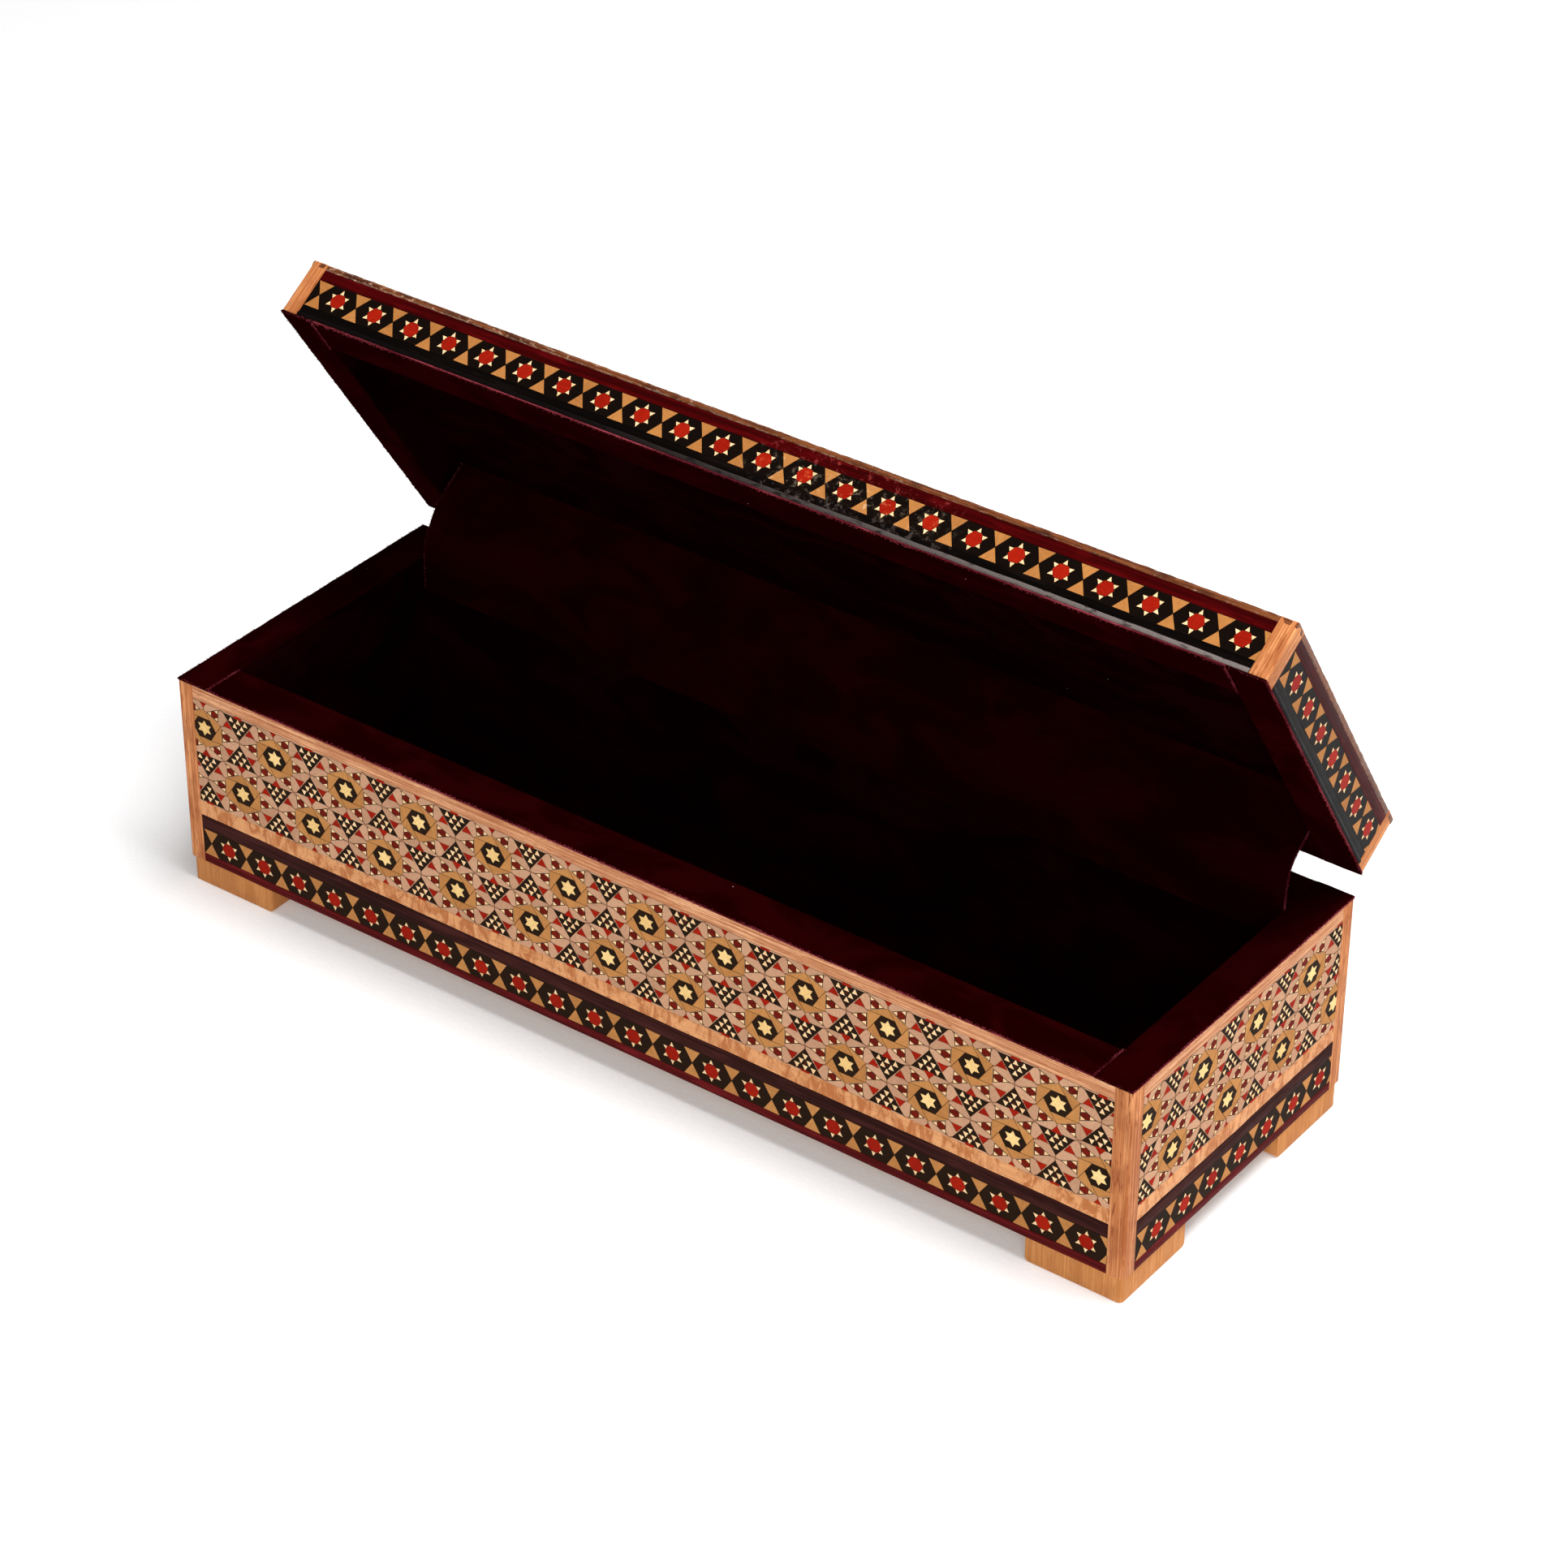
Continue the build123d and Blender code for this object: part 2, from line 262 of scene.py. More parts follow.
class Finish:
    """One material: its shader, and short ways to add the nodes that drive it."""

    def __init__(self, name, **sockets):
        self.material = bpy.data.materials.new(name)
        self.material.use_nodes = True
        self.tree = self.material.node_tree
        self.shader = self.tree.nodes["Principled BSDF"]
        for socket, value in sockets.items():
            self.shader.inputs[socket.replace("_", " ")].default_value = value

    def node(self, kind, inputs, output=0, **settings):
        """Add a node, set or link its inputs, and return one of its outputs."""
        made = self.tree.nodes.new(f"ShaderNode{kind}")
        for setting, value in settings.items():
            setattr(made, setting, value)
        for place, value in inputs.items():
            if isinstance(value, bpy.types.NodeSocket):
                self.tree.links.new(value, made.inputs[place])
            else:
                made.inputs[place].default_value = value
        return made.outputs[output]

    def grain(self, along, across):
        """Coordinates in millimetres, stretched by these shares along the grain and across it."""
        place = self.node("Attribute", {}, output="Vector", attribute_name="grain")
        return self.node("VectorMath", {0: place, 1: (along, across, across)}, operation="MULTIPLY")

    def tone(self):
        """The chance number that each inlaid piece carries."""
        return self.node("Attribute", {}, output="Fac", attribute_name="tone")

    def noise(self, place, scale=1.0, detail=3, roughness=0.55, distortion=0):
        settings = {"Scale": scale, "Detail": detail, "Roughness": roughness, "Distortion": distortion}
        return self.node("TexNoise", {"Vector": place, **settings})

    def figure(self, along, across, **settings):
        """Noise that follows the grain, stretched by these shares."""
        return self.noise(self.grain(along, across), **settings)

    def sums(self, operation, first, second):
        return self.node("Math", {0: first, 1: second}, operation=operation)

    def spread(self, value, low, high, to_low=0, to_high=1):
        """Spread a value from one range to another, smoothly."""
        ends = {0: value, 1: low, 2: high, 3: to_low, 4: to_high}
        return self.node("MapRange", ends, interpolation_type="SMOOTHSTEP")

    def mix(self, share, first, second):
        """Mix two colours, each from a node or given as 0 to 255."""
        colours = [srgb(*colour) if isinstance(colour, tuple) else colour for colour in (first, second)]
        return self.node("Mix", {"Factor": share, 6: colours[0], 7: colours[1]}, output=2, data_type="RGBA")

    def lay(self, colour, tone, value, low, high, most=1):
        """Lay a colour over a tone, up to this share of it, as a value goes from low to high."""
        return self.mix(self.spread(value, low, high, 0, most), tone, colour)

    def wear(self, width):
        """1 at the edges of the shape and 0 away from them, over this width."""
        rounded = self.node("Bevel", {"Radius": width * MM}, samples=6)
        flat = self.node("NewGeometry", {}, output="True Normal")
        match = self.node("VectorMath", {0: rounded, 1: flat}, output="Value", operation="DOT_PRODUCT")
        return self.spread(match, 0.99, 0.9)

    def along(self):
        """How far along the box a place is, in metres from its middle."""
        place = self.node("TexCoord", {}, output="Object")
        return self.node("SeparateXYZ", {"Vector": place}, output="X")

    def knocks(self):
        """Scratched and flaked patches, over the stretch of the lid that has been knocked."""
        apart = self.sums("SUBTRACT", self.along(), KNOCKED_MIDDLE)
        near = self.spread(self.sums("ABSOLUTE", apart, 0), KNOCKED_REACH, KNOCKED_REACH / 2)
        place = self.node("TexCoord", {}, output="Object")
        patches = self.noise(place, 650, detail=5, roughness=0.8, distortion=0.2)
        return self.sums("MULTIPLY", near, self.spread(patches, 0.53, 0.68, 0, 0.75))

    def finish(self, colour, roughness, height, depth):
        """Link the colour and a bump of this depth in millimetres, and link or set the roughness."""
        self.tree.links.new(colour, self.shader.inputs["Base Color"])
        if isinstance(roughness, bpy.types.NodeSocket):
            self.tree.links.new(roughness, self.shader.inputs["Roughness"])
        else:
            self.shader.inputs["Roughness"].default_value = roughness
        bump = self.node("Bump", {"Height": height, "Distance": depth * MM, "Strength": 1.0})
        self.tree.links.new(bump, self.shader.inputs["Normal"])
        return self.material


def wood_finish(name, light, dark, fleck, mottle=0.25, gloss=0.42, flecks=0.5, fineness=5.5, sawn=False):
    """Fine wood: long fibres, short flecks, and slow changes of tone. Sawn wood is evenly rough."""
    wood = Finish(name, Specular_IOR_Level=0.05, Coat_Weight=0.04, Coat_Roughness=0.3)
    fibres = wood.figure(0.05, 3.2, detail=5, roughness=0.6, distortion=0.3)
    rings = wood.figure(0.012, 0.9, detail=2, distortion=0.6)
    clouds = wood.figure(0.12, 0.25, detail=3)
    dashes = wood.figure(fineness / 10, fineness, detail=2, roughness=0.4)
    tone = wood.lay(dark, light, fibres, 0.4, 0.6)
    tone = wood.lay(dark, tone, rings, 0.5, 0.62, 0.55)
    tone = wood.lay(fleck, tone, clouds, 0.42, 0.62, mottle)
    tone = wood.lay(fleck, tone, dashes, 0.6, 0.7, flecks)
    roughness = gloss if sawn else wood.spread(fibres, 0.3, 0.7, gloss, gloss + 0.16)
    return wood.finish(tone, roughness, fibres, depth=0.03)


def curly_finish(name, light, dark, fleck):
    """Wood cut across its figure: blocky lighter and darker patches over fine pores."""
    wood = Finish(name, Specular_IOR_Level=0.05, Coat_Weight=0.04, Coat_Roughness=0.28)
    blocks = wood.figure(0.5, 0.2, detail=3, roughness=0.65, distortion=0.7)
    pores = wood.figure(2.2, 5, detail=3)
    fibres = wood.figure(0.1, 4, detail=4)
    tone = wood.lay(dark, light, blocks, 0.4, 0.62)
    tone = wood.lay(fleck, tone, pores, 0.56, 0.68, 0.55)
    tone = wood.lay(fleck, tone, fibres, 0.52, 0.7, 0.4)
    return wood.finish(tone, wood.spread(blocks, 0.3, 0.7, 0.34, 0.5), pores, depth=0.02)


def lacquer_finish(name, deep, streak, glow, gloss, knocked=None):
    """Stained wood under a thick lacquer, with faint streaks along it and an uneven film. The
    knocked lid's is polished, and shows another colour in its flaked patches."""
    polish = LID_POLISH if knocked else 0.03
    lacquer = Finish(name, Specular_IOR_Level=0.008, Coat_Weight=polish, Coat_Roughness=0.14)
    streaks = lacquer.figure(0.03, 1.7, detail=4, distortion=0.4)
    clouds = lacquer.figure(0.08, 0.5, detail=3)
    film = lacquer.figure(0.35, 0.6, detail=2)
    tone = lacquer.lay(streak, deep, streaks, 0.42, 0.66)
    tone = lacquer.lay(glow, tone, clouds, 0.52, 0.7, 0.6)
    if knocked:
        tone = lacquer.mix(lacquer.knocks(), tone, knocked)
    return lacquer.finish(tone, lacquer.spread(film, 0.3, 0.7, gloss, gloss + 0.2), film, depth=0.05)


def lip_finish():
    """The bead of lacquer along the lid's lower edge: dark at the left, with a painted grey highlight to the
    right.
    """
    lip = Finish("lid_lip_painted_highlight", Specular_IOR_Level=0.01, Coat_Weight=0.04, Coat_Roughness=0.2)
    # painted highlight: the share of grey on the bead, rising towards the right
    rubbed = lip.spread(lip.along(), -0.05, 0.14)
    film = lip.figure(0.3, 0.9, detail=4, roughness=0.65)
    tone = lip.mix(rubbed, (14, 9, 9), (122, 112, 108))
    tone = lip.lay((16, 11, 11), tone, film, 0.5, 0.64, 0.75)
    return lip.finish(tone, lip.spread(film, 0.3, 0.7, 0.3, 0.5), film, depth=0.06)


def inlay_finish(name, light, dark, pores, speckle, metal=0.0, fibre=0.55, knocked=None):
    """A small inlaid piece, with its own chance tone and fine grain, rubbed down flush."""
    polish = LID_POLISH if knocked else 0.02
    inlay = Finish(name, Metallic=metal, Specular_IOR_Level=0.01, Coat_Weight=polish, Coat_Roughness=0.2)
    fibres = inlay.figure(0.5, 5, detail=3)
    grains = inlay.figure(6, 6, detail=3, roughness=0.7)
    chance = inlay.sums("MULTIPLY", inlay.tone(), 0.45)
    share = inlay.sums("ADD", inlay.spread(fibres, 0.3, 0.75, 0, fibre), chance)
    tone = inlay.mix(share, light, dark)
    tone = inlay.lay(pores, tone, grains, 0.56, 0.72, speckle)
    if knocked:
        tone = inlay.mix(inlay.knocks(), tone, knocked)
    return inlay.finish(tone, inlay.spread(grains, 0.3, 0.7, 0.32, 0.52), grains, depth=0.012)


def velvet_finish(name, deep, nap_sheen, sheen, weight):
    """Short dense pile: nearly black, with brushed patches painted lighter as painted sheen, and a coloured sheen
    at low angles.
    """
    velvet = Finish(
        name, Sheen_Weight=weight, Sheen_Roughness=0.38, Sheen_Tint=sheen, Specular_IOR_Level=0.0
    )
    brushed = velvet.figure(0.05, 0.09, detail=4, distortion=0.8)
    tufts = velvet.figure(4.5, 4.5, detail=2)
    lint = velvet.node("TexVoronoi", {"Vector": velvet.grain(0.09, 0.09), "Scale": 1.0}, feature="F1")
    # painted sheen: the lighter nap colour laid over brushed patches and tufts of the pile
    tone = velvet.lay(nap_sheen, deep, brushed, 0.4, 0.64)
    tone = velvet.lay(nap_sheen, tone, tufts, 0.5, 0.75, 0.5)
    tone = velvet.lay((225, 170, 175), tone, lint, 0.012, 0.006, 0.8)
    return velvet.finish(tone, 0.9, tufts, depth=0.12)


def brass_finish(name):
    """Drawn brass, a little tarnished, with fine scratches along it."""
    brass = Finish(name, Metallic=1.0)
    tarnish = brass.figure(0.4, 0.5, detail=4)
    scratches = brass.figure(0.3, 9, detail=2)
    tone = brass.lay((164, 120, 62), (222, 184, 108), tarnish, 0.35, 0.8)
    roughness = brass.spread(scratches, 0.35, 0.7, 0.24, 0.42)
    return brass.finish(tone, roughness, scratches, depth=0.01)


def edging_finish():
    """Brown polished wood, worn pale along its edges and chipped to bare white in places."""
    edging = Finish("edging_wood", Specular_IOR_Level=0.15, Coat_Weight=0.1, Coat_Roughness=0.2)
    fibres = edging.figure(0.06, 3.4, detail=5, distortion=0.4)
    patches = edging.figure(0.1, 0.4, detail=3)
    chips = edging.figure(0.7, 1.1, detail=4, roughness=0.65)
    tone = edging.lay((76, 36, 20), (128, 72, 38), fibres, 0.36, 0.66)
    tone = edging.lay((52, 22, 14), tone, patches, 0.5, 0.66, 0.8)
    rubbed = edging.spread(edging.along(), 0.08, -0.11, -0.03, 0.1)
    bare = edging.sums("ADD", chips, rubbed)
    tone = edging.lay((190, 150, 122), tone, bare, 0.66, 0.72, 0.75)
    worn = edging.sums("MULTIPLY", edging.wear(0.4), edging.spread(bare, 0.48, 0.58))
    tone = edging.mix(worn, tone, (222, 196, 170))
    return edging.finish(tone, edging.spread(chips, 0.4, 0.6, 0.24, 0.5), chips, depth=0.08)


TRIM_WOOD = wood_finish("trim_wood", (232, 176, 132), (180, 113, 72), (146, 76, 42), flecks=0.7)
POST_WOOD = wood_finish(
    "post_wood", (220, 152, 100), (176, 103, 56), (134, 66, 32), mottle=0.4, flecks=0.85, fineness=3.0
)
FOOT_WOOD = wood_finish(
    "foot_wood", (205, 141, 84), (189, 124, 69), (160, 95, 49), mottle=0.35, gloss=0.5, flecks=0.35
)
WAIST_WOOD = curly_finish("waist_wood", (220, 158, 106), (180, 110, 62), (156, 82, 44))
BOARD_WOOD = wood_finish(
    "board_wood", (198, 160, 118), (166, 124, 84), (128, 88, 56), gloss=0.68, sawn=True
)
BURGUNDY = lacquer_finish("burgundy_lacquer", (70, 12, 12), (94, 19, 21), (118, 29, 33), 0.3)
LID_RED = lacquer_finish(
    "lid_burgundy_lacquer", (47, 0, 1), (68, 1, 2), (90, 5, 7), 0.3, knocked=(150, 52, 50)
)
DARK = lacquer_finish("dark_lacquer", (40, 16, 13), (62, 28, 25), (72, 35, 31), 0.34)
LID_DARK = lacquer_finish(
    "lid_dark_lacquer", (5, 3, 2), (11, 6, 5), (22, 13, 10), 0.2, knocked=(92, 80, 74)
)
# the lid's bead of lacquer, with its painted grey highlight
LID_LIP = lip_finish()
VELVET = velvet_finish("velvet", (21, 0, 0), (33, 1, 2), (0.5, 0.004, 0.01, 1), 0.02)
# the lining: the rim's velvet painted darker, as painted shade inside the case and the lid
VELVET_PAINTED_SHADE = velvet_finish("velvet_inside_painted_shade", (11, 0, 1), (24, 1, 3), (0.3, 0.005, 0.01, 1), 0.012)
# the cut edges and loose tufts: the velvet painted lighter and pinker, as painted sheen where the fibres catch the
# light
VELVET_CUT_PAINTED_SHEEN = velvet_finish("velvet_cut_edge_painted_sheen", (84, 18, 27), (140, 58, 68), (0.5, 0.24, 0.28, 1), 0.12)
BRASS = brass_finish("brass")
EDGING_WOOD = edging_finish()

# the inlaid pieces, in the order that a mesh holds them
INLAYS = {
    "ebony": inlay_finish("inlay_ebony", (28, 17, 8), (42, 26, 14), (62, 38, 20), 0.5),
    "bone": inlay_finish("inlay_bone", (206, 160, 127), (164, 122, 94), (134, 88, 62), 0.5, fibre=0.45),
    "ochre": inlay_finish("inlay_orange_wood", (196, 138, 80), (164, 108, 58), (128, 78, 38), 0.5),
    "brass": inlay_finish("inlay_brass", (248, 216, 150), (218, 176, 108), (158, 112, 56), 0.9, metal=0.15),
    "red": inlay_finish("inlay_red", (166, 32, 12), (130, 18, 7), (88, 8, 4), 0.6),
    "crimson": inlay_finish("inlay_crimson", (118, 28, 12), (84, 15, 8), (54, 6, 4), 0.5),
    "pale": inlay_finish("inlay_pale", (246, 214, 168), (226, 184, 130), (188, 138, 88), 0.5),
    "glue": inlay_finish("inlay_glue", (58, 34, 22), (42, 24, 14), (28, 16, 10), 0.4),
    "resin": inlay_finish("inlay_resin", (156, 114, 88), (122, 82, 60), (88, 54, 38), 0.5),
}
# the lid's border is cut from blacker wood, and has been knocked
LID_INLAYS = dict(INLAYS)
LID_INLAYS["ebony"] = inlay_finish(
    "lid_ebony", (8, 4, 2), (17, 9, 5), (36, 20, 11), 0.4, knocked=(100, 86, 72)
)
LID_INLAYS["ochre"] = inlay_finish(
    "lid_orange_wood", (186, 126, 68), (154, 97, 48), (118, 70, 32), 0.5, knocked=(218, 176, 134)
)
LID_INLAYS["red"] = inlay_finish(
    "lid_red", (166, 30, 10), (128, 16, 6), (88, 8, 4), 0.6, knocked=(206, 104, 62)
)


# ---------------- inlay
SEAM_DEPTH = 0.03
SHORTEST_EDGE = 0.03

# hand work shifts the pattern by up to this much, and alike within this distance
SHIFT = 0.12
SHIFT_REACH = 5.0

Seam = namedtuple("Seam", "filler width")
GLUE_SEAM = Seam("glue", 0.055)
SEAMS = {"bone": Seam("resin", 0.15), "ebony": None}

Tessera = namedtuple("Tessera", "kind points")


def ring(count, radius, first_angle=0.0, rise=1.0):
    """Points evenly round the origin, pressed to this share of their height."""
    turns = [math.radians(first_angle + 360 * number / count) for number in range(count)]
    return [Vector((radius * math.cos(turn), radius * rise * math.sin(turn))) for turn in turns]


def moved(points, place, turn=0.0):
    """Points turned about the origin by an angle in degrees, then moved to a place."""
    spin = Matrix.Rotation(math.radians(turn), 2)
    return [spin @ point + place for point in points]


def shifted(point, seed):
    """A point of the pattern, moved as hand work has shifted it."""
    drift = noise.noise_vector(Vector((point.x / SHIFT_REACH, point.y / SHIFT_REACH, seed)))
    return point + SHIFT * Vector((drift.x, drift.y))


def touches(points, width, height):
    """Whether a piece may reach into the veneer's outline."""
    across = [point.x for point in points]
    upward = [point.y for point in points]
    return max(across) > 0 and min(across) < width and max(upward) > 0 and min(upward) < height


def turns_left(outline):
    """Whether an outline runs round anticlockwise."""
    following = outline[1:] + outline[:1]
    return sum(here.x * there.y - here.y * there.x for here, there in zip(outline, following)) > 0


def drawn_in(outline, distance):
    """An anticlockwise outline with each of its edges moved inwards."""
    made = []
    for before, here, after in zip(outline[-1:] + outline[:-1], outline, outline[1:] + outline[:1]):
        arriving = (here - before).normalized().orthogonal()
        leaving = (after - here).normalized().orthogonal()
        made.append(here + (arriving + leaving) * distance / (1 + arriving.dot(leaving)))
    return made


def cut_outlines(face, tesserae, seed):
    """Every outline to cut, with its kind: the ground, then each piece inside its glue seam."""
    width, height = face.width, face.height
    ground = [Vector((0, 0)), Vector((width, 0)), Vector((width, height)), Vector((0, height))]
    cuts = [("ebony", ground)]
    for kind, points in tesserae:
        if not touches(points, width, height):
            continue
        outline = [shifted(point, seed) for point in points]
        if not turns_left(outline):
            outline.reverse()
        seam = SEAMS.get(kind, GLUE_SEAM)
        if seam:
            cuts.append((seam.filler, outline))
            outline = drawn_in(outline, seam.width)
        cuts.append((kind, outline))
    return cuts


def inlaid_mesh(face, tesserae, seed):
    """A veneer in millimetres, cut into inlaid pieces that stand just above ebony and glue.

    Later pieces lie over earlier ones, and what none covers is the ground, ebony."""
    cuts = cut_outlines(face, tesserae, seed)
    corners = [point for _, outline in cuts for point in outline]
    numbered = iter(range(len(corners)))
    rings = [[next(numbered) for _ in outline] for _, outline in cuts]
    valid_faces = 4
    places, _, cells, _, _, sources = delaunay_2d_cdt(corners, [], rings, valid_faces, SAME_PLACE)

    mesh = bmesh.new()
    tone = mesh.faces.layers.float.new("tone")
    owner = mesh.faces.layers.int.new("owner")
    vertices = [mesh.verts.new((place.x, place.y, -SEAM_DEPTH)) for place in places]
    dice = random.Random(seed)
    chances = [dice.random() for _ in cuts]
    names = list(INLAYS)
    for cell, source in zip(cells, sources):
        if 0 in source:
            made = mesh.faces.new([vertices[number] for number in cell])
            made[owner] = max(source)
            made[tone] = chances[made[owner]]
            made.material_index = names.index(cuts[made[owner]][0])
    unused = [vertex for vertex in mesh.verts if not vertex.link_faces]
    bmesh.ops.delete(mesh, geom=unused, context="VERTS")
    bmesh.ops.remove_doubles(mesh, verts=mesh.verts, dist=SHORTEST_EDGE)
    inner = [edge for edge in mesh.edges if len(edge.link_faces) == 2]
    inner = [edge for edge in inner if edge.link_faces[0][owner] == edge.link_faces[1][owner]]
    bmesh.ops.dissolve_edges(mesh, edges=inner)
    for number, made in enumerate(mesh.faces):
        lay_grain(mesh, [made], f"{seed} {number}")
    turn_grain(mesh, dice)

    low = [names.index(kind) for kind in ("ebony", "glue", "resin")]
    raised = [made for made in mesh.faces if made.material_index not in low]
    kept = set(mesh.faces) - set(raised)
    lifted = bmesh.ops.extrude_face_region(mesh, geom=raised)["geom"]
    for part in lifted:
        if isinstance(part, bmesh.types.BMVert):
            part.co.z += SEAM_DEPTH
    for made in set(mesh.faces) - kept - set(lifted):
        made.material_index = names.index("glue")
    add_backing(mesh, face.depth, names.index("ebony"))
    mesh.transform(face.matrix)
    return mesh


def turn_grain(mesh, dice):
    """Turn each inlaid piece's grain to a chance direction."""
    layer = mesh.loops.layers.float_vector["grain"]
    for face in mesh.faces:
        spin = Matrix.Rotation(dice.uniform(0, math.pi), 3, "Z")
        for loop in face.loops:
            loop[layer] = spin @ loop[layer]


def add_backing(mesh, depth, kind):
    """Close a flat cut face into a solid veneer of this depth."""
    rim = [edge for edge in mesh.edges if edge.is_boundary]
    made = bmesh.ops.extrude_edge_only(mesh, edges=rim)["geom"]
    back = [part for part in made if isinstance(part, bmesh.types.BMVert)]
    for vertex in back:
        vertex.co.z = -depth
    rim = [edge for edge in mesh.edges if edge.is_boundary]
    bmesh.ops.contextual_create(mesh, geom=rim)
    for face in mesh.faces:
        if any(vertex.co.z < -depth / 2 for vertex in face.verts):
            face.material_index = kind


# ---------------- inlay: the six-pointed star border
STAR_PITCH = 9.593
STAR_FIRST = 6.95
HOURGLASS_HALF = 0.205
STAR_HEXAGON = 1.85
HEXAGON_RISE = 0.96
RAY_INNER = 1.55
RAY_OUTER = 2.7
RAY_HALF = 0.56
RAY_SHARES = (0.94, 1.04)
BORDER_TURN = 4.0
BORDER_SHIFT = 0.1


def star_border(face, dice):
    """Red hexagons with six pale rays on black, and ochre hourglasses between them."""
    made = []
    middle = face.height / 2
    count = math.ceil(face.width / STAR_PITCH) + 1
    for number in range(-1, count):
        waist = STAR_FIRST + (number + 0.5) * STAR_PITCH
        half = HOURGLASS_HALF * STAR_PITCH
        tip = Vector((waist, middle + dice.uniform(-BORDER_SHIFT, BORDER_SHIFT)))
        for edge in (0, face.height):
            lean = dice.uniform(-BORDER_SHIFT, BORDER_SHIFT)
            base = [Vector((waist + lean - half, edge)), Vector((waist + lean + half, edge))]
            made.append(Tessera("ochre", base + [tip]))
        shift = Vector([dice.uniform(-BORDER_SHIFT, BORDER_SHIFT) for _ in range(2)])
        centre = Vector((waist - STAR_PITCH / 2, middle)) + shift
        turn = dice.uniform(-BORDER_TURN, BORDER_TURN)
        for ray in range(6):
            outline = [
                Vector((RAY_INNER, -RAY_HALF)),
                Vector((RAY_OUTER * dice.uniform(*RAY_SHARES), 0)),
                Vector((RAY_INNER, RAY_HALF)),
            ]
            made.append(Tessera("pale", moved(outline, centre, turn + 30 + 60 * ray)))
        made.append(Tessera("red", moved(ring(6, STAR_HEXAGON, rise=HEXAGON_RISE), centre, turn)))
    return made


# ---------------- inlay: the khatam panels
MOTIF_PITCH = 18.89
USUAL_ROW = 12.35

# how far from a panel's left end its first star stands
FIRST_STARS = {"front": 2.7, "rear": 2.7, "left": 1.5, "right": 1.5, "top": 4.5}

# radii, as shares of the pitch between motifs
STAR_TIP = 0.104
STAR_NOTCH = 0.060
HEXAGON = 0.165
PETAL = 0.300
RING_BASE = 0.262
RING_HALF = 0.102
RING_APEX = 0.462
HALFWAY = 0.5
THREEFOLD = 0.57735
TRIANGLE = 0.248
RED_HALF = 0.074
RED_TIP = 0.33
GRAIN_STEP = 0.115
GRAIN_SIZE = 0.043
SPECK_SIZE = 0.020
KITE_HEART = 0.2

# further out than any piece of a star reaches
FAR = 2.0

# how the pattern is stretched at these radii: sideways and upwards
STRETCH = (
    (0.0, 1.06, 1.0),
    (STAR_TIP, 1.06, 1.0),
    (HEXAGON, 1.0, 0.89),
    (PETAL, 0.95, 0.81),
    (0.46, 0.96, 0.79),
)

# a pale grain is a little taller than it is wide
GRAIN_RISE = 1.08

# sizes and places in a small triangle, as shares of the way from its middle to its corners
CRIMSON_SHARE = 0.86
CORNER_GRAIN_PLACE = 0.56
CORNER_GRAIN_SIZE = 0.33


def pressed(point, rise):
    """A point of the regular pattern as the makers pressed it: round at heart, flat outside."""
    radius = point.length
    stops = STRETCH + ((HALFWAY, 1.0, rise), (FAR, 1.0, rise))
    low, high = next(pair for pair in zip(stops, stops[1:]) if radius <= pair[1][0])
    share = (radius - low[0]) / (high[0] - low[0])
    across, upward = (low[axis] + share * (high[axis] - low[axis]) for axis in (1, 2))
    return Vector((point.x * across, point.y * upward)) * MOTIF_PITCH


def spoke(radius, angle, aside=0.0):
    """A point at a radius and angle, moved aside from its spoke."""
    across, upward = math.cos(math.radians(angle)), math.sin(math.radians(angle))
    return Vector((radius * across - aside * upward, radius * upward + aside * across))


def laid(kind, points, centre, rise):
    """A piece given on the regular pattern, pressed and put at its star's centre."""
    return Tessera(kind, [pressed(point, rise) + centre for point in points])


def bone_kites(centre, rise):
    """The twelve bone kites that fill a star's own cell."""
    made = []
    for step in range(12):
        middle, corner = 30 * step, 30 * step + 30
        if step % 2:
            middle, corner = corner, middle
        ends = ((KITE_HEART, middle), (HALFWAY, middle), (THREEFOLD, corner), (KITE_HEART, corner))
        made.append(laid("bone", [spoke(*end) for end in ends], centre, rise))
    return made


def black_triangles(centre, rise):
    """The black triangles above and below a star, each with six pale grains the other way up."""
    made = []
    for above in (1, -1):
        middle = Vector((0, above * THREEFOLD * rise)) * MOTIF_PITCH + centre
        corners = ring(3, TRIANGLE * MOTIF_PITCH, 90 * above)
        outline = [Vector((corner.x, corner.y * rise)) for corner in corners]
        made.append(Tessera("ebony", moved(outline, middle)))
        speck = ring(3, SPECK_SIZE * MOTIF_PITCH, -90 * above)
        made.append(Tessera("crimson", moved(speck, middle)))
        grain = ring(3, GRAIN_SIZE * MOTIF_PITCH, -90 * above, GRAIN_RISE)
        outer = ring(3, GRAIN_STEP * MOTIF_PITCH, 90 * above, rise)
        inner = ring(3, GRAIN_STEP / 2 * MOTIF_PITCH, -90 * above, rise)
        for place in outer + inner:
            made.append(Tessera("pale", moved(grain, middle + place)))
    return made


def star_pieces(centre, rise):
    """A star: brass on a black hexagon, in ochre petals, ringed by small triangles."""
    angles = range(0, 360, 60)
    side = THREEFOLD - TRIANGLE / 2
    petal_ends = ((HEXAGON, 0), (PETAL, 30), (PETAL, 90), (HEXAGON, 60))
    star_ends = ((STAR_NOTCH, 0), (STAR_TIP, 30))
    made = []
    for angle in angles:
        facing = angle + 30
        tooth = [spoke(side, facing, -RED_HALF), spoke(side, facing, RED_HALF), spoke(RED_TIP, facing)]
        made.append(laid("red", tooth, centre, rise))
    for angle in angles:
        petal = [spoke(radius, angle + turn) for radius, turn in petal_ends]
        made.append(laid("ochre", petal, centre, rise))
    for angle in angles:
        made.extend(ring_triangle(centre, rise, angle))
    made.append(laid("ebony", [spoke(HEXAGON, angle) for angle in angles], centre, rise))
    star = [spoke(radius, angle + turn) for angle in angles for radius, turn in star_ends]
    made.append(laid("brass", star, centre, rise))
    return made


